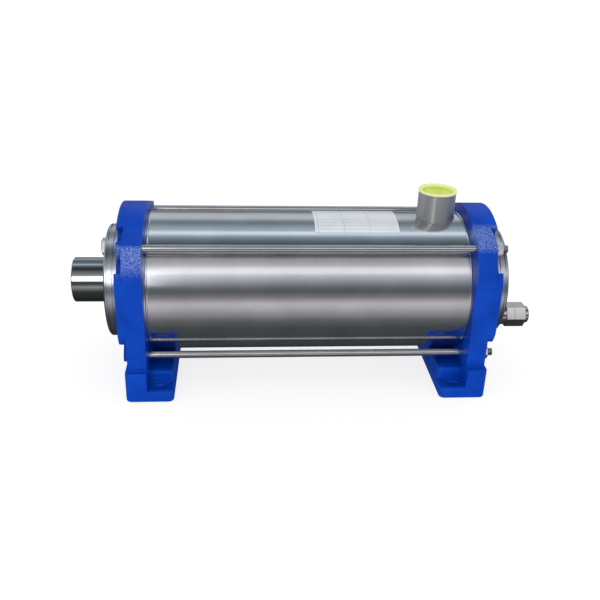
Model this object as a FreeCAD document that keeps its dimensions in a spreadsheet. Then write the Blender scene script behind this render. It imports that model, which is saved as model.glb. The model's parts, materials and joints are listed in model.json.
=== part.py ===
import FreeCAD, Part
import math
import os

import Sketcher

# A horizontal canned-motor booster pump. X runs along the pump axis from the suction
# end to the motor end, Y points to the back and Z up. The origin lies on the floor
# plane, in the middle of the four foot slots.

DIMENSIONS = {
    # Casing and brackets
    "axis_height": 105.3,
    "bracket_span": 347.0,
    "jacket_radius": 77.0,
    "jacket_wall": 1.5,
    "jacket_insertion": 5.5,
    "bead_height": 0.5,
    "bead_width": 2.5,
    "bead_offset": 2.0,
    "ring_thickness": 28.0,
    "ring_flat_depth": 5.0,
    "plate_thickness": 20.0,
    "hub_ring_radius": 68.5,
    "lobe_start_angle": 28.7,
    "lobe_rise": 10.43493,
    "lobe_corner_angle": 45.20684,
    "lobe_round": 5.0,
    "lobe_top_blend": 8.0,
    "lobe_side_blend": 18.0,
    "lobe_side_rise": 10.84524,
    "nut_pocket_half_width": 26.0,
    "nut_pocket_corner": 6.0,
    "ring_corner_round": 6.0,
    "rim_round": 2.0,
    # Feet
    "foot_reach": 28.0,
    "foot_lip": 3.0,
    "foot_side_margin": 7.0,
    "foot_pad_height": 13.4,
    "foot_bar_height": 27.6,
    "foot_bar_half_width": 70.0,
    "foot_bar_setback": 0.6,
    "foot_block_height": 35.0,
    "foot_corner": 6.0,
    "foot_bar_round": 3.0,
    "foot_edge_round": 2.0,
    "slot_spacing_along": 323.0,
    "slot_spacing_across": 159.0,
    "slot_length": 15.0,
    "slot_width": 9.0,
    # Tie rods
    "rod_gap": 10.5,
    "rod_radius": 4.0,
    "rod_hole_clearance": 0.3,
    "rod_engagement": 19.5,
    "rod_boss_radius": 7.2,
    "rod_boss_height": 5.3,
    "rod_end_length": 5.0,
    "washer_radius": 8.0,
    "washer_thickness": 1.6,
    "nut_across_flats": 13.0,
    "nut_height": 6.5,
    "nut_chamfer": 0.8,
    # End covers
    "gasket_thickness": 1.5,
    "gasket_width": 3.5,
    "flange_thickness": 6.0,
    "counterbore_clearance": 0.3,
    "hub_radius": 62.2,
    "hub_clearance": 0.4,
    "hub_length": 35.5,
    "hub_groove_depth": 1.5,
    "hub_groove_width": 1.6,
    "hub_groove_pitch": 6.0,
    "hub_groove_setback": 4.5,
    "hub_chamfer": 1.5,
    "end_plate_thickness": 4.0,
    "suction_cavity_radius": 56.0,
    "motor_cavity_radius": 58.0,
    "motor_spigot_bore": 49.5,
    # Sockets
    "inlet_radius": 24.8,
    "inlet_thread_radius": 20.95,
    "inlet_length": 40.5,
    "outlet_radius": 20.4,
    "outlet_thread_radius": 16.62,
    "outlet_mouth_radius": 18.6,
    "outlet_mouth_depth": 10.0,
    "outlet_hole_radius": 17.2,
    "outlet_place": 141.9,
    "outlet_height": 104.6,
    "socket_chamfer": 1.0,
    "weld_leg": 2.0,
    # Outlet cap
    "cap_lip_radius": 20.9,
    "cap_bead_height": 1.4,
    "cap_web": 1.1,
    "cap_wall": 1.3,
    "cap_depth": 7.0,
    "cap_band": 2.5,
    "cap_taper": 3.6,
    "cap_clearance": 0.35,
    # Vent plug
    "plug_height": 39.5,
    "plug_across_flats": 17.0,
    "plug_head": 6.5,
    "plug_stem_radius": 6.5,
    "plug_stem_length": 9.0,
    "plug_washer_radius": 10.0,
    "plug_washer_thickness": 1.2,
    # Cable gland
    "gland_back": -30.0,
    "gland_height": -31.0,
    "gland_across_flats": 24.0,
    "gland_boss_radius": 11.5,
    "gland_boss_length": 10.5,
    "gland_hex_length": 9.0,
    "gland_thread_radius": 9.9,
    "gland_stub_length": 5.0,
    "gland_inner_length": 9.0,
    "gland_bore_radius": 6.5,
    "gland_nut_length": 12.5,
    "gland_tip_length": 5.0,
    "gland_tip_radius": 9.6,
    "gland_tip_plate": 1.5,
    "gland_locknut_length": 4.5,
    # Rating label
    "label_start": 6.0,
    "label_length": 91.0,
    "label_angle": 53.0,
    "label_thickness": 0.3,
    # Pump stages
    "guide_thickness": 2.5,
    "stage_pitch": 30.0,
    "bowl_radius": 66.0,
    "bowl_wall": 2.0,
    "eye_radius": 24.0,
    "wear_ring_wall": 1.7,
    "wear_ring_length": 4.0,
    "running_gap": 0.3,
    "seat_gap": 0.05,
    "impeller_radius": 54.0,
    "impeller_thickness": 15.0,
    "impeller_nose": 4.0,
    "shroud_thickness": 1.6,
    "impeller_exit_width": 4.0,
    "impeller_hub_radius": 15.0,
    "impeller_hub_length": 21.0,
    "vane_thickness": 1.8,
    "vane_inner_radius": 23.5,
    "vane_sweep": 62.0,
    "vane_curve_radius": 42.0,
    "diffuser_radius": 58.0,
    "diffuser_plate": 2.0,
    "diffuser_gap": 1.0,
    "guide_vane_inner_radius": 30.0,
    "guide_vane_sweep": 48.0,
    "guide_vane_curve_radius": 46.0,
    "spacer_radius": 11.0,
    "impeller_nut_across_flats": 19.0,
    "impeller_nut_height": 8.0,
    # Discharge lantern and seal
    "lantern_length": 22.0,
    "lantern_wall": 5.0,
    "lantern_plate": 4.0,
    "lantern_window_length": 12.0,
    "lantern_window_width": 40.0,
    "seal_chamber_radius": 18.0,
    "seal_seat_radius": 13.9,
    "seal_seat_length": 6.0,
    "seal_head_radius": 13.0,
    "seal_head_length": 9.0,
    "seal_spring_length": 9.0,
    "seal_spring_wire": 0.9,
    "seal_spring_turns": 3.0,
    # Shaft and bearings
    "shaft_radius": 8.0,
    "shaft_end_length": 2.5,
    "journal_radius": 8.5,
    "rotor_shaft_radius": 12.0,
    "bearing_radius": 20.0,
    "bearing_width": 12.0,
    "bearing_pitch_radius": 14.25,
    "ball_radius": 3.37,
    "ball_gap": 0.1,
    "race_land": 2.25,
    "cage_thickness": 1.5,
    "cage_width": 8.6,
    # Motor
    "can_radius": 57.0,
    "can_wall": 1.2,
    "bell_flange": 3.0,
    "bell_spigot": 13.0,
    "bell_rim_wall": 5.5,
    "bell_plate": 4.0,
    "bearing_boss_wall": 6.0,
    "core_start": 30.0,
    "core_length": 90.0,
    "rotor_radius": 30.0,
    "air_gap": 0.4,
    "end_ring_length": 4.0,
    "slot_bottom_radius": 47.0,
    "slot_half_width": 2.2,
    "winding_overhang": 21.0,
    "wave_spring_thickness": 1.0,
    "rear_bell_step": 1.0,
    "impeller_nose_wall": 2.5,
    "vane_tip_gap": 0.5,
    "winding_setback": 4.0,
    "end_ring_drop": 1.5,
    "shaft_chamfer": 1.0,
    "shaft_shoulder": 2.0,
    "shaft_cone_length": 3.0,
    "shaft_tail": 1.0,
    "seal_head_step": 2.0,
}

# Shares of another size
OUTLET_FOOT_SHARE = 0.9
GLAND_NECK_SHARE = 1.2
GLAND_TIP_SHARE = 0.8
IMPELLER_NOSE_SHARE = 1.6
WINDOW_CUT_SHARE = 1.1
END_RING_BORE_SHARE = 0.7
SEAL_STEP_SHARE = 0.6

STAGES = 4
IMPELLER_VANES = 6
GUIDE_VANES = 7
LANTERN_WINDOWS = 6
STATOR_SLOTS = 18
BALLS = 8
CORNERS = 4
COS_45 = math.sqrt(0.5)
SIN_30 = 0.5
PLACE_TOLERANCE = 0.01
NEARLY_ALONG = 0.99
TAN_30 = math.tan(math.radians(30.0))
ORIGIN_POINT = -1
HORIZONTAL_AXIS = -1
VERTICAL_AXIS = -2
CENTRE = 3
ZERO = 1e-9

doc = FreeCAD.newDocument("pump")


class Size:
    """A length, with the formula that ties it to the sheet of dimensions."""

    def __init__(self, text, value):
        self.text = text
        self.value = value

    def join(self, sign, other, value):
        return Size(f"({self.text} {sign} {as_size(other).text})", value)

    def __add__(self, other):
        return self.join("+", other, self.value + as_size(other).value)

    def __sub__(self, other):
        return self.join("-", other, self.value - as_size(other).value)

    def __mul__(self, other):
        return self.join("*", other, self.value * as_size(other).value)

    def __truediv__(self, other):
        return self.join("/", other, self.value / as_size(other).value)

    def __neg__(self):
        return Size(f"(0 - {self.text})", -self.value)


def as_size(amount):
    if isinstance(amount, Size):
        return amount
    return Size(repr(float(amount)), float(amount))


def root(size):
    return Size(f"sqrt({size.text})", math.sqrt(size.value))


def cosine(degrees):
    return Size(f"cos({degrees.text})", math.cos(math.radians(degrees.value)))


def sine(degrees):
    return Size(f"sin({degrees.text})", math.sin(math.radians(degrees.value)))


def fill_sheet():
    """Write the driving dimensions into a sheet and return them by name."""
    sheet = doc.addObject("Spreadsheet::Sheet", "sizes")
    named = {}
    for row, (alias, value) in enumerate(DIMENSIONS.items(), start=1):
        sheet.set(f"A{row}", alias)
        sheet.set(f"B{row}", str(value))
        sheet.setAlias(f"B{row}", alias)
        named[alias] = Size(f"sizes.{alias}", value)
    doc.recompute()
    return named


D = fill_sheet()

# Places along the pump axis, measured from the middle of the casing.
INNER_FACE = D["bracket_span"] / 2
JACKET_END = INNER_FACE + D["jacket_insertion"]
FLANGE_FACE = JACKET_END + D["gasket_thickness"]
COUNTERBORE_DEPTH = D["jacket_insertion"] + D["gasket_thickness"] + D["flange_thickness"]
COVER_FACE = FLANGE_FACE + D["hub_length"]
STACK_START = -FLANGE_FACE + D["guide_thickness"]
STACK_END = STACK_START + D["stage_pitch"] * STAGES
BELL_FACE = STACK_END + D["lantern_length"]
CAN_START = BELL_FACE + D["bell_flange"]
BEARING_SETBACK = D["seal_seat_length"] + D["wave_spring_thickness"] + D["running_gap"]
FRONT_BEARING = BELL_FACE + BEARING_SETBACK
SPIGOT_END = FLANGE_FACE - D["bell_spigot"] - D["wave_spring_thickness"]
REAR_BELL_LENGTH = D["bearing_width"] + D["wave_spring_thickness"] + D["bell_plate"] + D["rear_bell_step"]
REAR_BELL = SPIGOT_END - REAR_BELL_LENGTH
REAR_BEARING = REAR_BELL + D["rear_bell_step"]
BEARING_SEAT_RADIUS = D["bearing_radius"] + D["seat_gap"]
CAN_BORE_RADIUS = D["can_radius"] - D["can_wall"]
SPIGOT_RADIUS = CAN_BORE_RADIUS - D["running_gap"]
ROD_CIRCLE = D["jacket_radius"] + D["rod_gap"]
ROD_OFFSET = ROD_CIRCLE * COS_45
RING_HALF_WIDTH = ROD_CIRCLE - D["ring_flat_depth"]
FOOT_HALF_WIDTH = RING_HALF_WIDTH + D["foot_side_margin"]
NUT_SEAT = INNER_FACE + D["plate_thickness"]
SHAFT_START = STACK_START - D["impeller_nut_height"] - D["shaft_end_length"] + D["impeller_nose"]


def origin_part(body, role):
    """The body's own plane or axis of the given role."""
    return [item for item in body.Origin.OriginFeatures if item.Role == role][0]


def new_body(label, along, back=0.0, height=0.0, turned=False):
    """A body whose own origin lies on the pump axis, or beside it, at the given place."""
    body = doc.addObject("PartDesign::Body", label)
    body.Label = label
    body.AllowCompound = True
    if turned:
        body.Placement = FreeCAD.Placement(FreeCAD.Vector(), FreeCAD.Rotation(FreeCAD.Vector(0, 0, 1), 180))
    places = (("x", as_size(along)), ("y", as_size(back)), ("z", D["axis_height"] + height))
    for axis, place in places:
        body.setExpression(f"Placement.Base.{axis}", place.text)
    return body


def new_sketch(body, role, offset=0.0):
    """A sketch on one of the body's planes, shifted along its normal."""
    sketch = body.newObject("Sketcher::SketchObject", body.Name + "_sketch")
    sketch.AttachmentSupport = [(origin_part(body, role), "")]
    sketch.MapMode = "FlatFace"
    sketch.setExpression("AttachmentOffset.Base.z", as_size(offset).text)
    return sketch


def pin_point(sketch, shape, end, x, y):
    """Tie one end or centre of a curve to its place in the sketch."""
    places = (("DistanceX", VERTICAL_AXIS, as_size(x)), ("DistanceY", HORIZONTAL_AXIS, as_size(y)))
    for kind, axis, place in places:
        if abs(place.value) < ZERO:
            sketch.addConstraint(Sketcher.Constraint("PointOnObject", shape, end, axis))
            continue
        if place.value > 0:
            rule = Sketcher.Constraint(kind, ORIGIN_POINT, 1, shape, end, place.value)
            text = place.text
        else:
            rule = Sketcher.Constraint(kind, shape, end, ORIGIN_POINT, 1, -place.value)
            text = (-place).text
        number = sketch.addConstraint(rule)
        sketch.setExpression(f"Constraints[{number}]", text)


def bind_radius(sketch, shape, radius):
    number = sketch.addConstraint(Sketcher.Constraint("Radius", shape, radius.value))
    sketch.setExpression(f"Constraints[{number}]", radius.text)


def short_arc(start, finish, radius):
    """The short arc of a signed radius, and its numbers for the start and the finish."""
    across, rise = finish[0] - start[0], finish[1] - start[1]
    chord = math.hypot(across, rise)
    height = math.copysign(math.sqrt(max(radius ** 2 - chord ** 2 / 4, 0.0)), radius)
    centre_x = (start[0] + finish[0]) / 2 - height * rise / chord
    centre_y = (start[1] + finish[1]) / 2 + height * across / chord
    circle = Part.Circle(FreeCAD.Vector(centre_x, centre_y, 0), FreeCAD.Vector(0, 0, 1), abs(radius))
    first = math.atan2(start[1] - centre_y, start[0] - centre_x)
    last = math.atan2(finish[1] - centre_y, finish[0] - centre_x)
    if radius > 0:
        return Part.ArcOfCircle(circle, first, last), 1, 2
    return Part.ArcOfCircle(circle, last, first), 2, 1


def draw(sketch, corners):
    """Draw a closed outline through the corners, all tied to the sheet.

    A corner is (x, y), or (x, y, radius) where an arc leads to it from the corner
    before, turning left for a positive radius and right for a negative one.
    """
    corners = [tuple(as_size(part) for part in corner) for corner in corners]
    ends = []
    for before, corner in zip([corners[-1]] + corners[:-1], corners):
        start = (before[0].value, before[1].value)
        finish = (corner[0].value, corner[1].value)
        if len(corner) == 2:
            line = Part.LineSegment(FreeCAD.Vector(*start, 0), FreeCAD.Vector(*finish, 0))
            ends.append((sketch.addGeometry(line, False), 1, 2))
            continue
        arc, first, last = short_arc(start, finish, corner[2].value)
        shape = sketch.addGeometry(arc, False)
        ends.append((shape, first, last))
        bind_radius(sketch, shape, corner[2] if corner[2].value > 0 else -corner[2])
    for (shape, first, last), (after, after_first, after_last) in zip(ends, ends[1:] + ends[:1]):
        sketch.addConstraint(Sketcher.Constraint("Coincident", shape, last, after, after_first))
    for (shape, first, last), corner in zip(ends, corners):
        pin_point(sketch, shape, last, corner[0], corner[1])
    return sketch


def draw_circle(sketch, x, y, radius):
    x, y, radius = as_size(x), as_size(y), as_size(radius)
    circle = Part.Circle(FreeCAD.Vector(x.value, y.value, 0), FreeCAD.Vector(0, 0, 1), radius.value)
    shape = sketch.addGeometry(circle, False)
    pin_point(sketch, shape, CENTRE, x, y)
    bind_radius(sketch, shape, radius)
    return sketch


def draw_hexagon(sketch, across_flats):
    """A hexagon on the sketch's origin, with two flats facing up and down."""
    half = across_flats / 2
    side = half * TAN_30
    point = side * 2
    draw(sketch, [(side, half), (-side, half), (-point, 0), (-side, -half), (side, -half), (point, 0)])
    return sketch


def pad(body, sketch, length):
    feature = body.newObject("PartDesign::Pad", body.Name + "_pad")
    feature.Profile = sketch
    feature.setExpression("Length", as_size(length).text)
    doc.recompute()
    return feature


def cut(body, sketch, depth=None, both_ways=False, forward=False):
    """Cut a sketch through the body, against the sketch's normal unless forward is set."""
    before = body.Shape.Volume
    feature = body.newObject("PartDesign::Pocket", body.Name + "_cut")
    feature.Profile = sketch
    feature.Reversed = forward
    if depth is None:
        feature.Type = "ThroughAll"
        feature.Midplane = both_ways
    else:
        feature.Midplane = both_ways
        feature.setExpression("Length", as_size(depth).text)
    doc.recompute()
    if body.Shape.Volume > before - ZERO:
        raise ValueError(f"a cut in {body.Label} removes nothing")
    return feature


def turn(body, corners, axis="H_Axis", angle=360.0):
    """Turn an outline in the upright plane about the body's X axis, or about its Z axis."""
    sketch = draw(new_sketch(body, "XZ_Plane"), corners)
    feature = body.newObject("PartDesign::Revolution", body.Name + "_turn")
    feature.Profile = sketch
    feature.ReferenceAxis = (sketch, [axis])
    feature.setExpression("Angle", as_size(angle).text)
    feature.Midplane = True
    doc.recompute()
    return feature


def repeat(body, features, count):
    """Repeat features evenly around the body's X axis."""
    pattern = body.newObject("PartDesign::PolarPattern", body.Name + "_pattern")
    pattern.Originals = features
    pattern.Axis = (origin_part(body, "X_Axis"), [""])
    pattern.Angle = 360.0
    pattern.Occurrences = count
    body.Tip = pattern
    doc.recompute()
    return pattern


def edges_where(shape, wanted):
    """Names of the edges whose middle point passes the test."""
    names = []
    for number, edge in enumerate(shape.Edges, start=1):
        middle = edge.valueAt((edge.FirstParameter + edge.LastParameter) / 2)
        if wanted(edge, middle):
            names.append(f"Edge{number}")
    return names


def soften(body, kind, size, wanted):
    """Round or chamfer the chosen edges of the body so far."""
    base = body.Tip
    names = edges_where(base.Shape, wanted)
    feature = body.newObject(f"PartDesign::{kind}", f"{body.Name}_{kind.lower()}")
    feature.Base = (base, names)
    feature.setExpression("Radius" if kind == "Fillet" else "Size", size.text)
    doc.recompute()
    if not feature.isValid():
        raise ValueError(f"{feature.Label} fails on {len(names)} edges")
    return feature


def ring(label, along, length, outer, inner, turned=False):
    """A plain round ring or disc."""
    body = new_body(label, along, turned=turned)
    turn(body, [(0, inner), (length, inner), (length, outer), (0, outer)])
    return body


def slanted(corners):
    """Turn corners given along and across the line to a tie rod into sketch corners."""
    outline = []
    for along, across, *bend in corners:
        along, across = as_size(along), as_size(across)
        outline.append(((along - across) * COS_45, (along + across) * COS_45, *bend))
    return outline


def along_at(back, up):
    """A test for the edges that run along the pump at a place on both its sides."""
    def found(edge, middle):
        near = math.hypot(abs(middle.y) - back.value, abs(middle.z) - abs(up.value)) < PLACE_TOLERANCE
        return near and abs(edge.tangentAt(edge.FirstParameter).x) > NEARLY_ALONG
    return found


def bracket_ring(body):
    """The thick ring around the bore, flat at both sides, with a round rim and a pocket for each nut."""
    radius, half_width = ROD_CIRCLE, RING_HALF_WIDTH
    shoulder = root(radius * radius - half_width * half_width)
    outline = [
        (half_width, shoulder),
        (-half_width, shoulder, radius),
        (-half_width, -shoulder),
        (half_width, -shoulder, radius),
    ]
    pad(body, draw(new_sketch(body, "YZ_Plane"), outline), D["ring_thickness"])
    soften(body, "Fillet", D["ring_corner_round"], along_at(half_width, shoulder))
    face = D["ring_thickness"].value
    soften(body, "Fillet", D["rim_round"], lambda edge, middle: middle.x > face - 0.01)
    near, far = D["hub_ring_radius"], radius + D["rim_round"]
    half, corner = D["nut_pocket_half_width"], D["nut_pocket_corner"]
    outline = slanted([
        (far, -half),
        (far, half),
        (near + corner, half),
        (near, half - corner, corner),
        (near, corner - half),
        (near + corner, -half, corner),
    ])
    sketch = draw(new_sketch(body, "YZ_Plane", D["ring_thickness"]), outline)
    pocket = cut(body, sketch, D["ring_thickness"] - D["plate_thickness"])
    repeat(body, [pocket], CORNERS)


def bracket_plate(body):
    """The plate between ring and floor, with a ledged lobe around each upper rod."""
    half_width, low = RING_HALF_WIDTH, -D["axis_height"]
    radius, angle = ROD_CIRCLE, D["lobe_start_angle"]
    start_back, start_up = radius * sine(angle), radius * cosine(angle)
    side_top = root(radius * radius - half_width * half_width) + D["lobe_side_rise"]
    reach, lean = radius + D["lobe_rise"], D["lobe_corner_angle"]
    back, up = reach * sine(lean), reach * cosine(lean)
    outline = [
        (half_width, side_top),
        (back, up),
        (start_back, start_up),
        (-start_back, start_up, radius),
        (-back, up),
        (-half_width, side_top),
        (-half_width, low),
        (half_width, low),
    ]
    pad(body, draw(new_sketch(body, "YZ_Plane"), outline), D["plate_thickness"])
    soften(body, "Fillet", D["lobe_round"], along_at(back, up))
    soften(body, "Fillet", D["lobe_side_blend"], along_at(half_width, side_top))
    soften(body, "Fillet", D["lobe_top_blend"], along_at(start_back, start_up))


def foot_outline():
    """The outline of the foot, seen from above."""
    inner, outer, corner = -D["foot_reach"], D["plate_thickness"] + D["foot_lip"], D["foot_corner"]
    wide = FOOT_HALF_WIDTH
    return [
        (outer - corner, -wide),
        (outer, corner - wide, corner),
        (outer, wide - corner),
        (outer - corner, wide, corner),
        (inner + corner, wide),
        (inner, wide - corner, corner),
        (inner, corner - wide),
        (inner + corner, -wide, corner),
    ]


def bracket_slab(body):
    """The slab under the foot, with its lower edges rounded."""
    floor = -D["axis_height"]
    pad(body, draw(new_sketch(body, "XY_Plane", floor), foot_outline()), D["foot_pad_height"])
    soften(body, "Fillet", D["foot_edge_round"], lambda edge, middle: abs(middle.z - floor.value) < 0.01)


def bracket_foot(body):
    """The block below the plate, the bar between the pads and the slots in them."""
    floor, wide, corner = -D["axis_height"], FOOT_HALF_WIDTH, D["foot_corner"]
    root_height = D["foot_pad_height"] / 2
    block = foot_outline()[:4] + [(0, wide), (0, -wide)]
    sketch = draw(new_sketch(body, "XY_Plane", floor + root_height), block)
    pad(body, sketch, D["foot_block_height"] - root_height)

    def is_outer_edge(edge, middle):
        height = middle.z - floor.value
        outside = abs(middle.y) > (wide - corner / 2).value
        if abs(height - D["foot_block_height"].value) < 0.01:
            return outside or middle.x > (D["plate_thickness"] + D["foot_lip"]).value - 0.01
        ahead = middle.x < (corner / 2 - D["foot_reach"]).value
        return abs(height - D["foot_pad_height"].value) < 0.01 and middle.x < -0.1 and (outside or ahead)

    soften(body, "Fillet", D["foot_edge_round"], is_outer_edge)
    near, far = D["foot_bar_setback"] - D["foot_reach"], D["plate_thickness"] / 2
    narrow = D["foot_bar_half_width"]
    bar = [
        (far, -narrow),
        (far, narrow),
        (near + corner, narrow),
        (near, narrow - corner, corner),
        (near, corner - narrow),
        (near + corner, -narrow, corner),
    ]
    sketch = draw(new_sketch(body, "XY_Plane", floor + root_height), bar)
    pad(body, sketch, D["foot_bar_height"] - root_height)
    bar_top = (floor + D["foot_bar_height"]).value
    soften(body, "Fillet", D["foot_bar_round"],
           lambda edge, middle: abs(middle.z - bar_top) < 0.01 and middle.x < -0.1)
    foot_slots(body)


def foot_slots(body):
    tip = D["slot_length"] / 2
    half = D["slot_width"] / 2
    place = INNER_FACE - D["slot_spacing_along"] / 2
    for side in (-1, 1):
        middle = D["slot_spacing_across"] / 2 * side
        slot = [
            (-place + tip - half, middle - half),
            (-place + tip, middle, half),
            (-place + tip - half, middle + half, half),
            (-place - tip + half, middle + half),
            (-place - tip, middle, half),
            (-place - tip + half, middle - half, half),
        ]
        cut(body, draw(new_sketch(body, "XY_Plane"), slot))


def rod_circles(body, radius, offset):
    """A sketch with one circle around each tie rod."""
    sketch = new_sketch(body, "YZ_Plane", offset)
    for back, up in ((1, 1), (-1, 1), (-1, -1), (1, -1)):
        draw_circle(sketch, ROD_OFFSET * back, ROD_OFFSET * up, radius)
    return sketch


def bracket_bores(body):
    """The seat of the cover flange and the hole for its hub."""
    thickness = D["ring_thickness"]
    bore = draw_circle(new_sketch(body, "YZ_Plane", thickness), 0, 0, D["hub_radius"] + D["hub_clearance"])
    cut(body, bore, thickness)
    seat = new_sketch(body, "YZ_Plane", COUNTERBORE_DEPTH)
    draw_circle(seat, 0, 0, D["jacket_radius"] + D["counterbore_clearance"])
    cut(body, seat, COUNTERBORE_DEPTH)


def suction_bracket():
    body = new_body("suction_bracket", -INNER_FACE, turned=True)
    bracket_slab(body)
    bracket_ring(body)
    bracket_plate(body)
    bracket_foot(body)
    bracket_bores(body)
    thickness = D["plate_thickness"]
    rod, boss = ROD_CIRCLE, D["rod_boss_radius"]
    near = D["hub_ring_radius"] - D["rim_round"]
    outline = slanted([(near, -boss), (rod, -boss), (rod + boss, 0, boss), (rod, boss, boss), (near, boss)])
    web = pad(body, draw(new_sketch(body, "YZ_Plane", thickness), outline), D["rod_boss_height"])
    repeat(body, [web], CORNERS)
    cut(body, rod_circles(body, D["rod_radius"] + D["seat_gap"], thickness), thickness)


def motor_bracket():
    body = new_body("motor_bracket", INNER_FACE)
    bracket_slab(body)
    bracket_ring(body)
    bracket_plate(body)
    bracket_foot(body)
    bracket_bores(body)
    hole = D["rod_radius"] + D["rod_hole_clearance"]
    cut(body, rod_circles(body, hole, D["plate_thickness"]), D["plate_thickness"])


def jacket():
    """The rolled sleeve, with a bead beside each bracket and the outlet hole on top."""
    body = new_body("jacket", -JACKET_END)
    length = JACKET_END * 2
    outer, crest = D["jacket_radius"], D["jacket_radius"] + D["bead_height"]
    near = D["jacket_insertion"] + D["bead_offset"]
    slope = D["bead_width"] / 3
    bead = [(near, outer), (near + slope, crest), (near + slope * 2, crest), (near + slope * 3, outer)]
    far_bead = [(length - x, radius) for x, radius in reversed(bead)]
    inner = outer - D["jacket_wall"]
    turn(body, [(0, inner), (0, outer)] + bead + far_bead + [(length, outer), (length, inner)])
    hole = new_sketch(body, "XY_Plane")
    draw_circle(hole, JACKET_END + D["outlet_place"], 0, D["outlet_hole_radius"])
    cut(body, hole, forward=True)


def hub_outline():
    """The outside of a cover: flange, grooved hub and end face."""
    end, outer = D["hub_length"], D["hub_radius"]
    low = outer - D["hub_groove_depth"]
    corners = [(0, D["jacket_radius"]), (D["flange_thickness"], D["jacket_radius"])]
    corners += [(D["flange_thickness"], outer)]
    for step in (2, 1, 0):
        start = end - D["hub_groove_setback"] - D["hub_groove_pitch"] * step
        finish = start + D["hub_groove_width"]
        corners += [(start, outer), (start, low), (finish, low), (finish, outer)]
    return corners + [(end - D["hub_chamfer"], outer), (end, outer - D["hub_chamfer"])]


def suction_cover():
    body = new_body("suction_cover", -FLANGE_FACE, turned=True)
    end = D["hub_length"]
    mouth, cavity = D["inlet_thread_radius"], D["suction_cavity_radius"]
    inside = end - D["end_plate_thickness"]
    turn(body, hub_outline() + [(end, mouth), (inside, mouth), (inside, cavity), (0, cavity)])
    hole = new_sketch(body, "YZ_Plane", end)
    draw_circle(hole, 0, D["plug_height"], D["plug_stem_radius"] + D["seat_gap"])
    cut(body, hole, D["end_plate_thickness"])


def motor_cover():
    body = new_body("motor_cover", FLANGE_FACE)
    end, cavity = D["hub_length"], D["motor_cavity_radius"]
    inside = end - D["end_plate_thickness"]
    spigot = SPIGOT_END - FLANGE_FACE
    flange, bore = D["flange_thickness"], D["motor_spigot_bore"]
    inner = [(end, 0), (inside, 0), (inside, cavity), (flange, cavity), (flange, bore)]
    turn(body, hub_outline() + inner + [(spigot, bore), (spigot, SPIGOT_RADIUS), (0, SPIGOT_RADIUS)])
    hole = new_sketch(body, "YZ_Plane", end)
    draw_circle(hole, D["gland_back"], D["gland_height"], D["gland_thread_radius"] + D["seat_gap"])
    cut(body, hole, D["end_plate_thickness"])


def inlet_socket():
    body = new_body("inlet_socket", -COVER_FACE, turned=True)
    length, outer, inner = D["inlet_length"], D["inlet_radius"], D["inlet_thread_radius"]
    bevel, weld = D["socket_chamfer"], D["weld_leg"]
    turn(body, [
        (0, inner),
        (0, outer + weld),
        (weld, outer),
        (length - bevel, outer),
        (length, outer - bevel),
        (length, inner + bevel),
        (length - bevel, inner),
    ])


def outlet_socket():
    """An upright socket whose foot follows the round of the jacket."""
    body = new_body("outlet_socket", D["outlet_place"])
    top, outer, inner = D["outlet_height"], D["outlet_radius"], D["outlet_thread_radius"]
    mouth, step = D["outlet_mouth_radius"], top - D["outlet_mouth_depth"]
    bevel = D["socket_chamfer"] / 2
    foot = D["jacket_radius"] * OUTLET_FOOT_SHARE
    outline = [
        (inner, foot),
        (outer, foot),
        (outer, top - bevel),
        (outer - bevel, top),
        (mouth + bevel, top),
        (mouth, top - bevel),
        (mouth, step),
        (inner, step),
    ]
    turn(body, outline, axis="V_Axis")
    cut(body, draw_circle(new_sketch(body, "YZ_Plane"), 0, 0, D["jacket_radius"]), both_ways=True)


def outlet_cap():
    """A push-in cap: a beaded lip over the rim and a tapered cup in the mouth."""
    body = new_body("outlet_cap", D["outlet_place"], height=D["outlet_height"])
    gap, wall, lip = D["cap_clearance"], D["cap_wall"], D["cap_lip_radius"]
    cup = D["outlet_mouth_radius"] - gap
    floor_radius = cup - D["cap_taper"]
    depth, band = -D["cap_depth"], -D["cap_band"]
    web = gap + D["cap_web"]
    crest = web + D["cap_bead_height"]
    turn(body, [
        (0, depth),
        (floor_radius, depth),
        (cup, band),
        (cup, gap),
        (lip, gap),
        (lip, crest),
        (lip - wall, crest),
        (cup, web),
        (cup - wall, web),
        (cup - wall, band),
        (floor_radius - wall, depth + wall),
        (0, depth + wall),
    ], axis="V_Axis")


def tie_rods():
    start = INNER_FACE + D["rod_engagement"]
    length = start + NUT_SEAT + D["washer_thickness"] + D["nut_height"] + D["rod_end_length"]
    body = new_body("tie_rods", -start)
    rod = draw_circle(new_sketch(body, "YZ_Plane"), ROD_OFFSET, ROD_OFFSET, D["rod_radius"])
    repeat(body, [pad(body, rod, length)], CORNERS)


def tie_rod_washers():
    body = new_body("tie_rod_washers", NUT_SEAT)
    washer = draw_circle(new_sketch(body, "YZ_Plane"), ROD_OFFSET, ROD_OFFSET, D["washer_radius"])
    draw_circle(washer, ROD_OFFSET, ROD_OFFSET, D["rod_radius"] + D["rod_hole_clearance"])
    repeat(body, [pad(body, washer, D["washer_thickness"])], CORNERS)


def tie_rod_nuts():
    body = new_body("tie_rod_nuts", NUT_SEAT + D["washer_thickness"])
    half = D["nut_across_flats"] / 2
    side = half * TAN_30
    sketch = new_sketch(body, "YZ_Plane")
    left, right, level = -side * 2, side * 2, half * 0
    corners = ((side, half), (-side, half), (left, level), (-side, -half), (side, -half), (right, level))
    draw(sketch, [(ROD_OFFSET + across, ROD_OFFSET + up) for across, up in corners])
    draw_circle(sketch, ROD_OFFSET, ROD_OFFSET, D["rod_radius"] + D["seat_gap"])
    blank = pad(body, sketch, D["nut_height"])
    top = D["nut_height"].value

    def is_top_edge(edge, middle):
        return abs(middle.x - top) < 0.01 and len(edge.Vertexes) == 2

    chamfer = soften(body, "Chamfer", D["nut_chamfer"], is_top_edge)
    repeat(body, [blank, chamfer], CORNERS)


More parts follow.
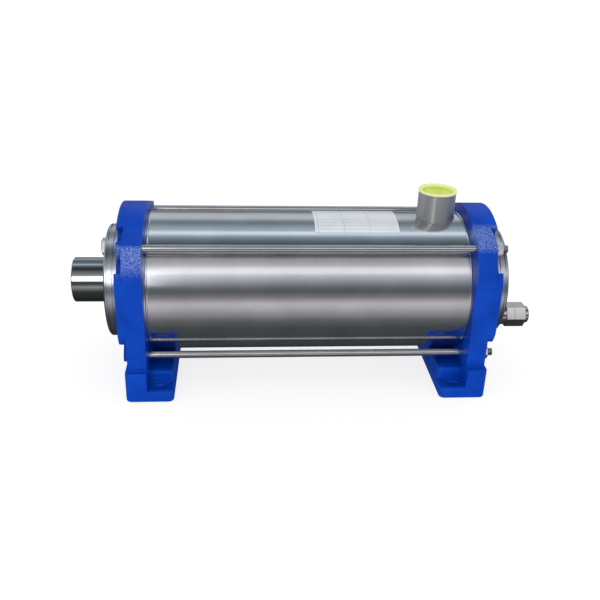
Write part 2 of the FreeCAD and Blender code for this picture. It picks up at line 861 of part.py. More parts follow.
def gaskets():
    outer = D["jacket_radius"]
    inner = outer - D["gasket_width"]
    ring("suction_gasket", -JACKET_END, D["gasket_thickness"], outer, inner, turned=True)
    ring("motor_gasket", JACKET_END, D["gasket_thickness"], outer, inner)


def vent_plug():
    washer = D["plug_washer_thickness"]
    body = new_body("vent_plug", -COVER_FACE, height=D["plug_height"], turned=True)
    head = draw_hexagon(new_sketch(body, "YZ_Plane", washer), D["plug_across_flats"])
    pad(body, head, D["plug_head"])
    start = washer + D["plug_head"] - D["plug_stem_length"] - D["end_plate_thickness"]
    stem = draw_circle(new_sketch(body, "YZ_Plane", start), 0, 0, D["plug_stem_radius"])
    pad(body, stem, washer - start)
    top = (washer + D["plug_head"]).value

    def is_top_edge(edge, middle):
        return abs(middle.x - top) < 0.01

    soften(body, "Chamfer", D["nut_chamfer"], is_top_edge)
    seal = new_body("vent_washer", -COVER_FACE, height=D["plug_height"], turned=True)
    inner = D["plug_stem_radius"] + D["seat_gap"]
    outer = D["plug_washer_radius"]
    turn(seal, [(0, inner), (washer, inner), (washer, outer), (0, outer)])


def gland_place(label, along):
    return new_body(label, COVER_FACE + along, back=D["gland_back"], height=D["gland_height"])


def gland_body():
    """The adapter boss, hexagon and hollow thread of the cable gland."""
    body = gland_place("gland_body", 0.0)
    thread, bore = D["gland_thread_radius"], D["gland_bore_radius"]
    boss, hexagon = D["gland_boss_length"], D["gland_hex_length"]
    turn(body, [
        (-D["gland_inner_length"], bore),
        (boss + hexagon + D["gland_stub_length"], bore),
        (boss + hexagon + D["gland_stub_length"], thread),
        (boss, thread),
        (boss, D["gland_boss_radius"]),
        (0, D["gland_boss_radius"]),
        (0, thread),
        (-D["gland_inner_length"], thread),
    ])
    sketch = draw_hexagon(new_sketch(body, "YZ_Plane", boss), D["gland_across_flats"])
    draw_circle(sketch, 0, 0, (thread + bore) / 2)
    pad(body, sketch, hexagon)


def gland_nut():
    """The clamping nut, with a hexagon and a rounded tip around the cable hole."""
    start = D["gland_boss_length"] + D["gland_hex_length"]
    body = gland_place("gland_nut", start)
    inner = D["gland_thread_radius"] + D["seat_gap"]
    length, tip = D["gland_nut_length"], D["gland_tip_length"]
    face = length - D["gland_tip_plate"]
    neck = D["gland_bore_radius"] * GLAND_NECK_SHARE
    sketch = draw_hexagon(new_sketch(body, "YZ_Plane"), D["gland_across_flats"])
    draw_circle(sketch, 0, 0, inner)
    pad(body, sketch, length)
    rim = D["gland_tip_radius"]
    curve = (rim - neck) * GLAND_TIP_SHARE
    turn(body, [
        (face, neck),
        (length + tip, neck),
        (length + tip, rim - curve),
        (length + tip - curve, rim, curve),
        (length, rim),
        (length, D["gland_boss_radius"]),
        (face, D["gland_boss_radius"]),
    ])


def gland_inserts():
    start = D["gland_boss_length"] + D["gland_hex_length"] + D["gland_stub_length"]
    seal = gland_place("gland_seal", start)
    length = D["gland_nut_length"] - D["gland_stub_length"] - D["gland_tip_plate"]
    inner, outer = D["gland_bore_radius"], D["gland_thread_radius"] - D["running_gap"]
    turn(seal, [(0, inner), (length, inner), (length, outer), (0, outer)])
    thickness = D["gland_locknut_length"]
    locknut = gland_place("gland_locknut", -D["end_plate_thickness"] - thickness)
    sketch = draw_hexagon(new_sketch(locknut, "YZ_Plane"), D["gland_across_flats"])
    draw_circle(sketch, 0, 0, D["gland_thread_radius"] + D["seat_gap"])
    pad(locknut, sketch, thickness)


def rating_label():
    """A thin bare plate that follows the top of the jacket."""
    body = new_body("rating_label", D["label_start"])
    inner = D["jacket_radius"] + D["seat_gap"]
    outer, length = inner + D["label_thickness"], D["label_length"]
    turn(body, [(0, inner), (length, inner), (length, outer), (0, outer)], angle=D["label_angle"])


def vane_outline(inner, outer, sweep, curve, thickness):
    """A curved vane between two radii, swept round by an angle, of even thickness."""
    tip_y, tip_z = outer * cosine(sweep), outer * sine(sweep)
    lean_y, lean_z = thickness * cosine(sweep), thickness * sine(sweep)
    return [
        (inner, 0),
        (tip_y, tip_z, curve),
        (tip_y + lean_z, tip_z - lean_y),
        (inner, -thickness, -curve - thickness),
    ]


def impeller(number):
    """A closed impeller: eye ring and front shroud, curved vanes, back shroud and hub."""
    bowl = STACK_START + D["stage_pitch"] * (number - 1)
    body = new_body(f"impeller_{number}", bowl + D["running_gap"])
    bore = D["shaft_radius"] + D["seat_gap"]
    rim, back = D["impeller_radius"], D["impeller_thickness"]
    shroud, hub = D["shroud_thickness"], D["impeller_hub_radius"]
    face = back - shroud
    lip = D["eye_radius"] - D["wear_ring_wall"] - D["running_gap"]
    front = face - D["impeller_exit_width"]
    nose = D["impeller_nose"]
    turn(body, [
        (nose, bore),
        (nose, bore + D["impeller_nose_wall"]),
        (face, hub * IMPELLER_NOSE_SHARE, hub),
        (face, rim),
        (back, rim),
        (back, hub),
        (D["impeller_hub_length"], hub),
        (D["impeller_hub_length"], bore),
    ])
    outline = vane_outline(
        D["vane_inner_radius"], rim - D["vane_tip_gap"], D["vane_sweep"], D["vane_curve_radius"], D["vane_thickness"]
    )
    sketch = draw(new_sketch(body, "YZ_Plane", front - shroud / 2), outline)
    vane = pad(body, sketch, D["impeller_exit_width"] + shroud)
    repeat(body, [vane], IMPELLER_VANES)
    turn(body, [
        (0, lip - shroud),
        (front - shroud, lip - shroud),
        (front, D["vane_inner_radius"] + shroud),
        (front, rim),
        (front - shroud, rim),
        (front - shroud, D["vane_inner_radius"] + shroud * 3),
        (nose, lip),
        (0, lip),
    ])


def stage_bowl(number):
    """The pressed shell of one stage: a wall and a front plate around the eye."""
    body = new_body(f"stage_bowl_{number}", STACK_START + D["stage_pitch"] * (number - 1))
    outer, wall, length = D["bowl_radius"], D["bowl_wall"], D["stage_pitch"]
    inner = outer - wall
    turn(body, [
        (0, D["eye_radius"]),
        (wall, D["eye_radius"]),
        (wall, inner),
        (length, inner),
        (length, outer),
        (0, outer),
    ])


def wear_ring(number):
    outer = D["eye_radius"] - D["seat_gap"]
    inner = D["eye_radius"] - D["wear_ring_wall"]
    along = STACK_START + D["stage_pitch"] * (number - 1)
    ring(f"wear_ring_{number}", along, D["wear_ring_length"], outer, inner)


def diffuser(number):
    """The plate behind an impeller, whose guide vanes lead the water back to the next eye."""
    start = D["running_gap"] + D["impeller_thickness"] + D["diffuser_gap"]
    body = new_body(f"diffuser_{number}", STACK_START + D["stage_pitch"] * (number - 1) + start)
    plate, bore = D["diffuser_plate"], D["impeller_hub_radius"] + D["running_gap"]
    turn(body, [(0, bore), (plate, bore), (plate, D["diffuser_radius"]), (0, D["diffuser_radius"])])
    tip = D["bowl_radius"] - D["bowl_wall"] - D["seat_gap"] * 2
    outline = vane_outline(
        D["guide_vane_inner_radius"], tip, D["guide_vane_sweep"],
        D["guide_vane_curve_radius"], D["vane_thickness"]
    )
    height = D["stage_pitch"] - start - plate / 2
    vane = pad(body, draw(new_sketch(body, "YZ_Plane", plate / 2), outline), height)
    repeat(body, [vane], GUIDE_VANES)


def stage_spacers():
    """The sleeves between the impeller hubs, and the longer one before the shaft seal."""
    nose = D["impeller_nose"]
    length = D["stage_pitch"] - D["impeller_hub_length"] + nose
    body = new_body("stage_spacers", STACK_START + D["running_gap"] + D["impeller_hub_length"])
    inner, outer = D["shaft_radius"] + D["seat_gap"], D["spacer_radius"]
    for number in range(STAGES - 1):
        start = D["stage_pitch"] * number
        turn(body, [(start, inner), (start + length, inner), (start + length, outer), (start, outer)])
    start = D["stage_pitch"] * (STAGES - 1)
    finish = start + D["stage_pitch"] - D["impeller_hub_length"] - D["running_gap"] + D["lantern_length"]
    finish = finish - D["seal_head_length"] - D["seal_spring_length"]
    turn(body, [(start, inner), (finish, inner), (finish, outer), (start, outer)])


def suction_guide():
    outer = D["jacket_radius"] - D["gasket_width"] - D["running_gap"]
    ring("suction_guide", -FLANGE_FACE, D["guide_thickness"], outer, D["eye_radius"])


def discharge_lantern():
    """The windowed drum between the last stage and the motor."""
    body = new_body("discharge_lantern", STACK_END)
    length, outer = D["lantern_length"], D["bowl_radius"]
    inner, back = outer - D["lantern_wall"], length - D["lantern_plate"]
    turn(body, [
        (0, inner),
        (0, outer),
        (length, outer),
        (length, D["seal_chamber_radius"]),
        (back, D["seal_chamber_radius"]),
        (back, inner),
    ])
    start = D["bowl_wall"] * 2
    finish = start + D["lantern_window_length"]
    window = new_sketch(body, "XZ_Plane")
    far = outer * WINDOW_CUT_SHARE
    draw(window, [(start, inner / 2), (finish, inner / 2), (finish, far), (start, far)])
    repeat(body, [cut(body, window, D["lantern_window_width"], both_ways=True)], LANTERN_WINDOWS)


def front_end_bell():
    """The shield between pump and motor, with the seats of the seal and the front bearing."""
    body = new_body("front_end_bell", BELL_FACE)
    flange, seat = D["bell_flange"], BEARING_SEAT_RADIUS
    boss = seat + D["bearing_boss_wall"]
    mouth = D["seal_seat_radius"] + D["seat_gap"]
    rim, end = flange + D["bell_spigot"], BEARING_SETBACK + D["bearing_width"]
    face = BEARING_SETBACK - D["running_gap"]
    turn(body, [
        (0, mouth),
        (0, D["bowl_radius"]),
        (flange, D["bowl_radius"]),
        (flange, SPIGOT_RADIUS),
        (rim, SPIGOT_RADIUS),
        (rim, SPIGOT_RADIUS - D["bell_rim_wall"]),
        (face, SPIGOT_RADIUS - D["bell_rim_wall"]),
        (face, boss),
        (end, boss),
        (end, seat),
        (face, seat),
        (face, mouth),
    ])


def rear_end_bell():
    """The shield at the motor end, with the seat of the rear bearing."""
    body = new_body("rear_end_bell", REAR_BELL)
    length, seat = REAR_BELL_LENGTH, BEARING_SEAT_RADIUS
    boss = seat + D["bearing_boss_wall"]
    face = length - D["bell_plate"]
    rim = SPIGOT_RADIUS - D["bell_rim_wall"]
    turn(body, [
        (0, seat),
        (face, seat),
        (face, D["rotor_shaft_radius"]),
        (length, D["rotor_shaft_radius"]),
        (length, SPIGOT_RADIUS),
        (D["rear_bell_step"], SPIGOT_RADIUS),
        (D["rear_bell_step"], rim),
        (face, rim),
        (face, boss),
        (0, boss),
    ])


def motor_can():
    length = FLANGE_FACE - CAN_START
    ring("motor_can", CAN_START, length, D["can_radius"], CAN_BORE_RADIUS)


def stator_core():
    """The laminated core, with an open slot for each group of windings."""
    body = new_body("stator_core", D["core_start"])
    bore = D["rotor_radius"] + D["air_gap"]
    sketch = new_sketch(body, "YZ_Plane")
    draw_circle(sketch, 0, 0, SPIGOT_RADIUS)
    draw_circle(sketch, 0, 0, bore)
    pad(body, sketch, D["core_length"])
    half, bottom = D["slot_half_width"], D["slot_bottom_radius"]
    slot = new_sketch(body, "YZ_Plane", D["core_length"])
    draw(slot, [(-half, bore / 2), (half, bore / 2), (half, bottom), (-half, bottom)])
    repeat(body, [cut(body, slot, D["core_length"])], STATOR_SLOTS)


def stator_windings():
    """The coil sides in the slots, joined by the end turns."""
    overhang, gap = D["winding_overhang"], D["running_gap"]
    start = overhang + gap
    body = new_body("stator_windings", D["core_start"] - start)
    outer, inner = D["slot_bottom_radius"] - gap, D["rotor_radius"] + D["air_gap"] + D["winding_setback"]
    middle, corner = overhang / 2, overhang / 4
    far = start + D["core_length"] + gap
    for place in (0.0, far):
        place = as_size(place)
        turn(body, [
            (place + corner, inner),
            (place + overhang - corner, inner),
            (place + overhang, inner + corner),
            (place + overhang, outer - corner),
            (place + overhang - corner, outer),
            (place + corner, outer),
            (place, outer - corner),
            (place, inner + corner),
        ])
    half = D["slot_half_width"] - gap
    side = new_sketch(body, "YZ_Plane", middle)
    low, high = inner + corner, outer - corner / 2
    draw(side, [(-half, low), (half, low), (half, high), (-half, high)])
    repeat(body, [pad(body, side, far)], STATOR_SLOTS)


def rotor_core():
    body = new_body("rotor_core", D["core_start"] - D["end_ring_length"])
    bore, outer = D["rotor_shaft_radius"] + D["seat_gap"], D["rotor_radius"]
    step, length = D["end_ring_length"], D["core_length"]
    end = outer - D["end_ring_drop"]
    bottom = end * END_RING_BORE_SHARE
    turn(body, [
        (0, bottom),
        (0, end),
        (step, end),
        (step, outer),
        (step + length, outer),
        (step + length, end),
        (step * 2 + length, end),
        (step * 2 + length, bottom),
        (step + length, bottom),
        (step + length, bore),
        (step, bore),
        (step, bottom),
    ])


def shaft():
    """The stepped shaft from the impeller nut to the rear bearing."""
    body = new_body("shaft", SHAFT_START)
    thin, journal, thick = D["shaft_radius"], D["journal_radius"], D["rotor_shaft_radius"]
    front = FRONT_BEARING - SHAFT_START
    rear = REAR_BEARING - SHAFT_START
    width = D["bearing_width"]
    bevel, cone = D["shaft_chamfer"], D["shaft_cone_length"]
    shoulder = journal + D["shaft_shoulder"]
    end = rear + width + D["shaft_tail"]
    turn(body, [
        (0, 0),
        (0, thin - bevel),
        (bevel, thin),
        (front, thin),
        (front, journal),
        (front + width, journal),
        (front + width, shoulder),
        (front + width + cone, thick),
        (rear - cone, thick),
        (rear, shoulder),
        (rear, journal),
        (end, journal),
        (end, 0),
    ])


def impeller_nut():
    nose = D["impeller_nose"]
    along = STACK_START + D["running_gap"] + nose - D["impeller_nut_height"]
    body = new_body("impeller_nut", along)
    sketch = draw_hexagon(new_sketch(body, "YZ_Plane"), D["impeller_nut_across_flats"])
    draw_circle(sketch, 0, 0, D["shaft_radius"] + D["seat_gap"])
    pad(body, sketch, D["impeller_nut_height"])


def shaft_seal():
    """The resting seat, the rotating head and the spring that presses it on."""
    bore = D["shaft_radius"] + D["seat_gap"]
    seat_bore = D["shaft_radius"] + D["running_gap"] * 2
    ring("seal_seat", BELL_FACE, D["seal_seat_length"], D["seal_seat_radius"], seat_bore)
    head = new_body("seal_head", BELL_FACE - D["seal_head_length"] - D["seat_gap"])
    length, outer = D["seal_head_length"], D["seal_head_radius"]
    step = outer - D["seal_head_step"]
    back = length * SEAL_STEP_SHARE
    turn(head, [
        (0, bore),
        (0, outer),
        (back, outer),
        (back, step),
        (length, step),
        (length, bore),
    ])
    spring = new_body("seal_spring", BELL_FACE - length - D["seal_spring_length"])
    wire = D["seal_spring_wire"]
    near, low = wire * 0.5, bore + wire
    far, high = near + wire * 2, low + wire * 2
    section = [(near, low), (far, low), (far, high), (near, high)]
    sketch = draw(new_sketch(spring, "XZ_Plane"), section)
    coil = spring.newObject("PartDesign::AdditiveHelix", "seal_spring_coil")
    coil.Profile = sketch
    coil.ReferenceAxis = (sketch, ["H_Axis"])
    coil.Mode = "pitch-turns-angle"
    pitch = (D["seal_spring_length"] - wire * 3) / D["seal_spring_turns"]
    coil.setExpression("Pitch", pitch.text)
    coil.setExpression("Turns", D["seal_spring_turns"].text)
    doc.recompute()


def race_outline(base, land):
    """The section of a race, from its seat to its land with the ball groove."""
    width, pitch = D["bearing_width"], D["bearing_pitch_radius"]
    groove = D["ball_radius"] + D["ball_gap"]
    half = root(groove * groove - D["race_land"] * D["race_land"])
    middle = width / 2
    bend = groove if land.value < pitch.value else -groove
    return [
        (0, base),
        (0, land),
        (middle - half, land),
        (middle + half, land, bend),
        (width, land),
        (width, base),
    ]


def bearing(side, along):
    """A ball bearing: two races, and the balls in their cage."""
    pitch, land = D["bearing_pitch_radius"], D["race_land"]
    inner = new_body(f"{side}_bearing_inner", along)
    turn(inner, race_outline(D["journal_radius"] + D["seat_gap"], pitch - land))
    outer = new_body(f"{side}_bearing_outer", along)
    turn(outer, race_outline(D["bearing_radius"], pitch + land))
    row = new_body(f"{side}_bearing_balls", along)
    middle, width, half = D["bearing_width"] / 2, D["cage_width"], D["cage_thickness"] / 2
    turn(row, [
        (middle - width / 2, pitch - half),
        (middle + width / 2, pitch - half),
        (middle + width / 2, pitch + half),
        (middle - width / 2, pitch + half),
    ])
    hole = draw_circle(new_sketch(row, "XY_Plane"), middle, 0, D["ball_radius"] + D["ball_gap"])
    repeat(row, [cut(row, hole, forward=True)], BALLS)
    radius = D["ball_radius"]
    sketch = new_sketch(row, "XZ_Plane")
    top = (middle, pitch + radius, radius)
    draw(sketch, [(middle + radius, pitch), top, (middle - radius, pitch, radius)])
    ball = row.newObject("PartDesign::Revolution", f"{side}_ball")
    ball.Profile = sketch
    ball.ReferenceAxis = (sketch, ["Edge1"])
    ball.Angle = 360.0
    doc.recompute()
    repeat(row, [ball], BALLS)


def wave_spring():
    """The ring that preloads the rear bearing from behind."""
    along = REAR_BEARING + D["bearing_width"]
    outer = D["bearing_radius"]
    ring("wave_spring", along, D["wave_spring_thickness"], outer, outer - D["race_land"])


def build():
    suction_bracket()
    motor_bracket()
    jacket()
    suction_cover()
    motor_cover()
    inlet_socket()
    outlet_socket()
    outlet_cap()
    tie_rods()
    tie_rod_washers()
    tie_rod_nuts()
    gaskets()
    vent_plug()
    gland_body()
    gland_nut()
    gland_inserts()
    rating_label()
    suction_guide()
    for number in range(1, STAGES + 1):
        stage_bowl(number)
        wear_ring(number)
        impeller(number)
        diffuser(number)
    stage_spacers()
    discharge_lantern()
    front_end_bell()
    rear_end_bell()
    motor_can()
    stator_core()
    stator_windings()
    rotor_core()
    shaft()
    impeller_nut()
    shaft_seal()
    bearing("front", FRONT_BEARING)
    bearing("rear", REAR_BEARING)
    wave_spring()


def check_and_write():
    """Stop at the first failed object, and write each sub-part to its own file."""
    doc.recompute()
    for item in doc.Objects:
        if "Invalid" in item.State or "Error" in item.State:
            raise ValueError(f"{item.Label} failed: {item.State}")
    os.makedirs("parts", exist_ok=True)
    for item in doc.Objects:
        if item.TypeId != "PartDesign::Body":
            continue
        if item.Shape.isNull() or not item.Shape.isValid():
            raise ValueError(f"{item.Label} has no valid shape")
        item.Shape.exportStep(f"parts/{item.Label}.step")


build()
check_and_write()
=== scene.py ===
import json
import math

import bmesh
import bpy
from mathutils import Matrix, Vector, noise


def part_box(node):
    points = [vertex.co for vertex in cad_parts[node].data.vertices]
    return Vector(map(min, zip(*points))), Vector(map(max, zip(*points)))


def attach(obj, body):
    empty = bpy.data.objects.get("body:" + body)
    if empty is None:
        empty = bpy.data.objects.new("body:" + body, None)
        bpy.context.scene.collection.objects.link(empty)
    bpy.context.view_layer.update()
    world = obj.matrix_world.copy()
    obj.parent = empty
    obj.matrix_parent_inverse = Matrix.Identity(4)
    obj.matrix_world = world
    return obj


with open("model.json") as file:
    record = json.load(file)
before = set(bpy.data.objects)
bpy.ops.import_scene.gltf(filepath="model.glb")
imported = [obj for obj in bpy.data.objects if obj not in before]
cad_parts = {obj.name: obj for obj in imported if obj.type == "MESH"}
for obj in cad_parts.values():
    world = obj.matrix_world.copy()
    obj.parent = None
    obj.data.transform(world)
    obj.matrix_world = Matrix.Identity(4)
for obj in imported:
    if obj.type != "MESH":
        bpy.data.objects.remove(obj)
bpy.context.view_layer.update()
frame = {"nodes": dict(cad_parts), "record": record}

# Places read from the frame, in metres
JACKET_LOW, JACKET_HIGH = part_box("jacket")
AXIS_HEIGHT = (JACKET_LOW.z + JACKET_HIGH.z) / 2
INLET_LOW, INLET_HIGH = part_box("inlet_socket")
OUTLET_LOW, OUTLET_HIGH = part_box("outlet_socket")
OUTLET_X = (OUTLET_LOW.x + OUTLET_HIGH.x) / 2
OUTLET_RADIUS = (OUTLET_HIGH.x - OUTLET_LOW.x) / 2
LABEL_LOW, LABEL_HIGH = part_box("rating_label")
NUTS_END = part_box("tie_rod_nuts")[1].x

# Sizes, in metres
JACKET_RADIUS = 0.077
ROD_THREAD_PITCH = 0.00125
SHEET_THICKNESS = 0.001
CAP_LIP_RISE = 0.0002
BRUSHED_FROM, BRUSHED_FULLY = 0.070, 0.074

# Pipe threads, in metres and in shares of the pitch
THREAD_PITCH = 0.002309
THREAD_DEPTH = 0.00148
THREAD_BITE = 0.0001
THREAD_FOOT_SHARE = 0.46
THREAD_CREST_SHARE = 0.08
THREAD_STEPS_PER_TURN = 40
THREAD_FADE_TURNS = 0.5
THREAD_LEAST_DEPTH = 0.05
INLET_THREAD_RADIUS = 0.02095
INLET_THREAD_LENGTH = 0.030
INLET_THREAD_SETBACK = 0.0016
OUTLET_THREAD_RADIUS = 0.01662
OUTLET_THREAD_LENGTH = 0.015
OUTLET_THREAD_SETBACK = 0.0012
OUTLET_MOUTH_DEPTH = 0.010

# Weld beads, in metres
WELD_STEPS = 220
WELD_SIDES = 8
WELD_BEADS = 44
WELD_RIPPLE = 0.05
WELD_WANDER = 0.06
WELD_WANDER_SCALE = 180.0
OUTLET_WELD_RADIUS = 0.0008
INLET_WELD_RADIUS = 0.0010
INLET_WELD_REACH = 0.0262
INLET_WELD_SINK = 0.0004

# Label, in metres and in shares of a row or a column
LABEL_MARGIN = 0.0035
LABEL_ROW = 0.0058
LABEL_ROW_SHIFT = 0.1
LABEL_COLUMN = 0.028
ROW_LINE_SHARE = 0.05
COLUMN_LINE_SHARE = 0.012

# Rough skin with painted highlight specks on the front of each bracket, in metres: in front of a place,
# and between heights above the axis, each given as where it starts and where it is full
LEFT_SKIN_GLINTS_FRONT = (-0.056, -0.062)
LEFT_SKIN_GLINTS_FLOOR = (0.034, 0.054)
LEFT_SKIN_GLINTS_TOP = (0.069, 0.065)
RIGHT_SKIN_GLINTS_FRONT = (-0.034, -0.042)
RIGHT_SKIN_GLINTS_FLOOR = (0.060, 0.068)
RIGHT_SKIN_GLINTS_TOP = (0.094, 0.084)

# Camera, in the row frame
CAMERA_PLACE = Vector((-0.0762, -0.8072, 0.4672))
CAMERA_RIGHT = Vector((0.99686, -0.07302, 0.03083))
CAMERA_UP = Vector((0.00387, 0.43334, 0.90123))
CAMERA_AHEAD = Vector((0.07917, 0.89827, -0.43226))
CAMERA_LENS = 46.79
CAMERA_SENSOR = 36.0
CAMERA_NEAR = 0.01

# Lights: angle round the pump's axis, 0 ahead and 90 above, then metres and watts
LIGHT_DISTANCE = 1.5
LIGHTS = (
    {"name": "front_softbox", "degrees": 37.0, "width": 4.0, "height": 0.30, "power": 1.3, "along": 0.0},
    {"name": "left_card", "degrees": 26.0, "width": 0.26, "height": 0.62, "power": 1.9, "along": -0.52},
)

# The table, and the painted reflection that polished metal sees on it, by distance in front of the pump and
# behind it: its dark bands near the pump are a painted shadow
FLOOR_HALF_SIZE = 6.0
FLOOR_DROP = 0.0002
FLOOR_MATT = 0.24
FLOOR_LIFT = 0.80
FLOOR_BAND_REACH = 1.6
FLOOR_BANDS = (
    (1.6, (0.19, 0.19, 0.195)),
    (0.95, (0.24, 0.24, 0.25)),
    (0.60, (0.44, 0.43, 0.45)),
    (0.42, (0.62, 0.61, 0.64)),
    (0.30, (0.53, 0.52, 0.55)),
    (0.20, (0.30, 0.29, 0.31)),
    (0.155, (0.13, 0.135, 0.14)),
    (0.11, (0.060, 0.072, 0.075)),
    (0.04, (0.045, 0.055, 0.058)),
    (0.0, (0.02, 0.028, 0.024)),
)

# The studio, and what polished metal sees in it, by angle round the pump's axis: 0 ahead of it,
# 90 above, 180 behind
STUDIO_SOFT = 1.02
STUDIO_SHINE = 1.1
SKY_BANDS = (
    (-180.0, (0.08, 0.085, 0.09)),
    (-2.0, (0.13, 0.13, 0.135)),
    (3.0, (0.085, 0.09, 0.10)),
    (8.0, (0.10, 0.115, 0.13)),
    (14.0, (0.18, 0.20, 0.23)),
    (21.0, (0.33, 0.35, 0.40)),
    (27.0, (0.52, 0.54, 0.60)),
    (36.0, (0.68, 0.69, 0.73)),
    (46.0, (0.53, 0.54, 0.57)),
    (55.0, (0.35, 0.36, 0.39)),
    (66.0, (0.22, 0.23, 0.25)),
    (74.0, (0.06, 0.07, 0.08)),
    (82.0, (0.05, 0.065, 0.08)),
    (90.0, (0.13, 0.165, 0.195)),
    (98.0, (0.25, 0.32, 0.38)),
    (103.0, (0.66, 0.80, 0.92)),
    (106.5, (1.05, 1.20, 1.36)),
    (110.0, (0.40, 0.49, 0.57)),
    (120.0, (0.31, 0.38, 0.43)),
    (127.0, (0.17, 0.21, 0.245)),
    (134.0, (0.16, 0.195, 0.23)),
    (140.0, (0.36, 0.40, 0.45)),
    (147.0, (0.55, 0.59, 0.65)),
    (156.0, (0.50, 0.53, 0.57)),
    (164.0, (0.45, 0.48, 0.52)),
    (172.0, (0.19, 0.21, 0.225)),
    (180.0, (0.15, 0.165, 0.175)),
)

WHITE = (1.0, 1.0, 1.0, 1.0)
EVEN = (1.0, 1.0, 1.0)
ROUND_X = (40.0, 1.0, 1.0)

# Plain metals by slot: low and high are the limits of their roughness; where given, painted shade darkens
# their edges and corners
STEELS = {
    "polished_steel": {
        "name": "polished_sleeve", "color": (0.76, 0.755, 0.76), "low": 0.10, "high": 0.20,
        "stretch": (34.0, 1.0, 1.0), "scale": 60.0, "depth": 0.000012, "turned": 0.3,
    },
    "satin_steel": {
        "name": "turned_cover", "color": (0.60, 0.61, 0.64), "low": 0.20, "high": 0.30,
        "stretch": ROUND_X, "depth": 0.000008,
    },
    "zinc_steel": {
        "name": "zinc_nuts", "color": (0.90, 0.89, 0.88), "low": 0.16, "high": 0.28,
        "stretch": (2.0, 2.0, 2.0), "edge_shade": 0.5,
    },
    "plated_brass": {
        "name": "plated_gland", "color": (0.60, 0.59, 0.56), "low": 0.05, "high": 0.11,
        "stretch": (3.0, 3.0, 3.0), "edge_shade": 0.85,
    },
    "pressed_steel": {"name": "pressed_sheet", "color": (0.62, 0.62, 0.62), "low": 0.25, "high": 0.42},
    "cast_aluminium": {
        "name": "cast_shield", "color": (0.60, 0.61, 0.62), "low": 0.40, "high": 0.60,
        "scale": 400.0, "depth": 0.0002,
    },
    "spring_steel": {"name": "spring_wire", "color": (0.50, 0.50, 0.51), "low": 0.25, "high": 0.40},
    "ground_steel": {
        "name": "ground_shaft", "color": (0.68, 0.68, 0.69), "low": 0.16, "high": 0.28, "stretch": ROUND_X,
    },
    "bearing_steel": {
        "name": "bearing_race", "color": (0.70, 0.70, 0.72), "low": 0.08, "high": 0.16, "stretch": ROUND_X,
    },
    "weld": {
        "name": "weld_bead", "color": (0.56, 0.53, 0.49), "low": 0.28, "high": 0.48,
        "scale": 300.0, "depth": 0.0001,
    },
}

# Plain plastics and the like by slot: name, colour, roughness
PLASTICS = {
    "fibre": ("fibre_washer", (0.20, 0.15, 0.12), 0.7),
    "rubber": ("black_rubber", (0.028, 0.028, 0.030), 0.62),
    "moulded_plastic": ("dark_moulding", (0.10, 0.10, 0.11), 0.45),
    "impeller_plastic": ("pale_moulding", (0.74, 0.72, 0.64), 0.35),
    "carbon": ("carbon_ring", (0.045, 0.045, 0.050), 0.35),
    "ceramic": ("seal_ceramic", (0.84, 0.82, 0.78), 0.18),
}


class Nodes:
    """A node tree under construction, with short ways to add and join its nodes."""

    def __init__(self, tree):
        self.tree = tree

    def add(self, kind, inputs=None, **settings):
        made = self.tree.nodes.new("ShaderNode" + kind)
        for key, value in settings.items():
            setattr(made, key, value)
        for key, value in (inputs or {}).items():
            if isinstance(value, bpy.types.NodeSocket):
                self.tree.links.new(value, made.inputs[key])
            else:
                made.inputs[key].default_value = value
        return made

    def math(self, operation, first, second=0.0):
        return self.add("Math", {0: first, 1: second}, operation=operation).outputs[0]

    def product(self, first, *others):
        for other in others:
            first = self.math("MULTIPLY", first, other)
        return first

    def bands(self, value, start, finish, table):
        """The colour that a table of places gives for a value between start and finish."""
        share = self.add("MapRange", {"Value": value, "From Min": start, "From Max": finish}).outputs[0]
        ramp = self.add("ValToRGB", {"Fac": share})
        elements = ramp.color_ramp.elements
        for index, (place, color) in enumerate(table):
            position = (place - start) / (finish - start)
            stop = elements[index] if index < 2 else elements.new(position)
            stop.position = position
            stop.color = (*color, 1.0)
        return ramp.outputs["Color"]


